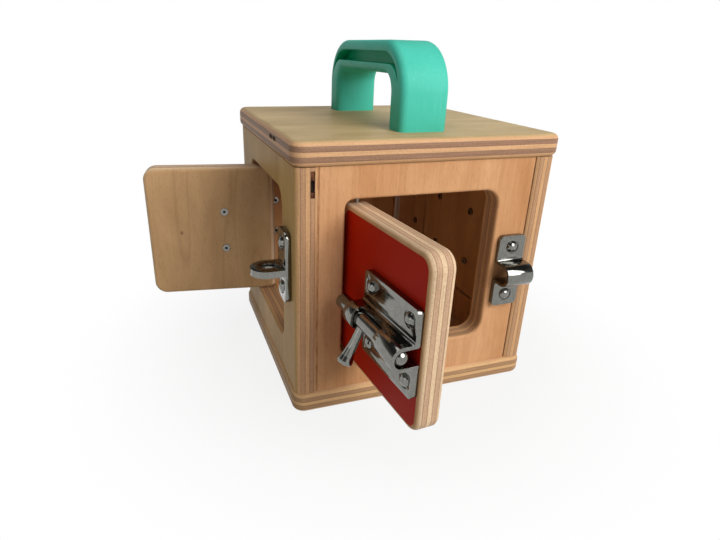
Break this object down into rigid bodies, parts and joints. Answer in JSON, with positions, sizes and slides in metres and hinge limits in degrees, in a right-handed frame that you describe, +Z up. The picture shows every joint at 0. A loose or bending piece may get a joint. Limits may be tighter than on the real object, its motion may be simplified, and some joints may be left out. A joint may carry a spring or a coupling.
{
  "type": "latch lock box",
  "caption": "Plywood activity cube with an inset hinged door on every side, each held by its own kind of latch, and a moulded carrying handle on the lid.",
  "frame": {"origin": "middle of the base's underside, on the table", "axes": "+Z up, front door's side towards -Y, left door's side towards -X"},
  "size_m": [0.2338, 0.2589, 0.199],
  "materials": {
    "plywood": "clear lacquered birch plywood, satin",
    "face_front": "red face sheet, satin",
    "face_right": "yellow face sheet, satin",
    "face_back": "green face sheet, satin",
    "face_left": "blue face sheet, satin",
    "chrome": "bright nickel or chrome plate",
    "steel": "plain steel wire",
    "handle": "teal moulded plastic, satin"
  },
  "bodies": {
    "box": {"base_panel": "plywood", "lid_panel": "plywood", "left_panel": "plywood", "right_panel": "plywood", "front_panel": "plywood", "back_panel": "plywood", "handle": "handle", "handle_screws": "steel", "front_hinge_pins": "steel", "right_hinge_pins": "steel", "back_hinge_pins": "steel", "left_hinge_pins": "steel", "bolt_keeper": "chrome", "bolt_keeper_rivets": "chrome", "hook_catch": "chrome", "hook_catch_rivets": "chrome", "slide_keeper": "chrome", "slide_keeper_rivets": "chrome", "staple_plate": "chrome", "staple_plate_rivets": "chrome"},
    "front_door": {"front_door": "plywood", "front_door_face": "face_front", "bolt_plate": "chrome", "bolt_plate_rivets": "chrome"},
    "bolt_rod": {"bolt_rod": "chrome"},
    "bolt_knob": {"bolt_knob": "chrome"},
    "left_door": {"left_door": "plywood", "left_door_face": "face_left", "hook_plate": "chrome", "hook_rivet": "chrome", "hook_pivot": "chrome"},
    "hook": {"hook_arm": "chrome"},
    "right_door": {"right_door": "plywood", "right_door_face": "face_right", "slide_plate": "chrome", "slide_plate_rivets": "chrome"},
    "slide_bar": {"slide_bar": "chrome", "slide_knob": "chrome"},
    "back_door": {"back_door": "plywood", "back_door_face": "face_back", "hasp_leaf": "chrome", "hasp_leaf_rivets": "chrome", "hasp_pin": "chrome"},
    "hasp_strap": {"hasp_strap": "chrome"},
    "turn_button": {"turn_button": "chrome"}
  },
  "joints": [
    {"name": "front_door_hinge", "type": "hinge", "parent": "box", "child": "front_door", "pos_m": [-0.0403, -0.06875, 0.0775], "axis": [0, 0, -1], "range_deg": [-85, 10]},
    {"name": "right_door_hinge", "type": "hinge", "parent": "box", "child": "right_door", "pos_m": [0.06875, -0.0322, 0.0775], "axis": [0, 0, -1], "range_deg": [0, 95]},
    {"name": "back_door_hinge", "type": "hinge", "parent": "box", "child": "back_door", "pos_m": [0.0403, 0.06875, 0.0775], "axis": [0, 0, -1], "range_deg": [0, 100]},
    {"name": "left_door_hinge", "type": "hinge", "parent": "box", "child": "left_door", "pos_m": [-0.06875, 0.0322, 0.0775], "axis": [0, 0, -1], "range_deg": [-98, 2]},
    {"name": "bolt_slide", "type": "slide", "parent": "front_door", "child": "bolt_rod", "axis": [0.0872, -0.9962, 0], "range_m": [0, 0.015]},
    {"name": "bolt_knob_turn", "type": "hinge", "parent": "bolt_rod", "child": "bolt_knob", "pos_m": [-0.05126, -0.11267, 0.0754], "axis": [-0.0872, 0.9962, 0], "range_deg": [0, 64]},
    {"name": "hook_swing", "type": "hinge", "parent": "left_door", "child": "hook", "pos_m": [-0.09341, 0.05288, 0.0915], "axis": [0.1392, 0.9903, 0], "range_deg": [-5, 90]},
    {"name": "slide_bar_slide", "type": "slide", "parent": "right_door", "child": "slide_bar", "axis": [0, 1, 0], "range_m": [0, 0.021]},
    {"name": "hasp_swing", "type": "hinge", "parent": "back_door", "child": "hasp_strap", "pos_m": [-0.0216, 0.0782, 0.076], "axis": [0, 0, -1], "range_deg": [-135, 5]},
    {"name": "turn_button_turn", "type": "hinge", "parent": "box", "child": "turn_button", "pos_m": [-0.0549, 0.075, 0.076], "axis": [0, 1, 0], "range_deg": [0, 90]}
  ]
}
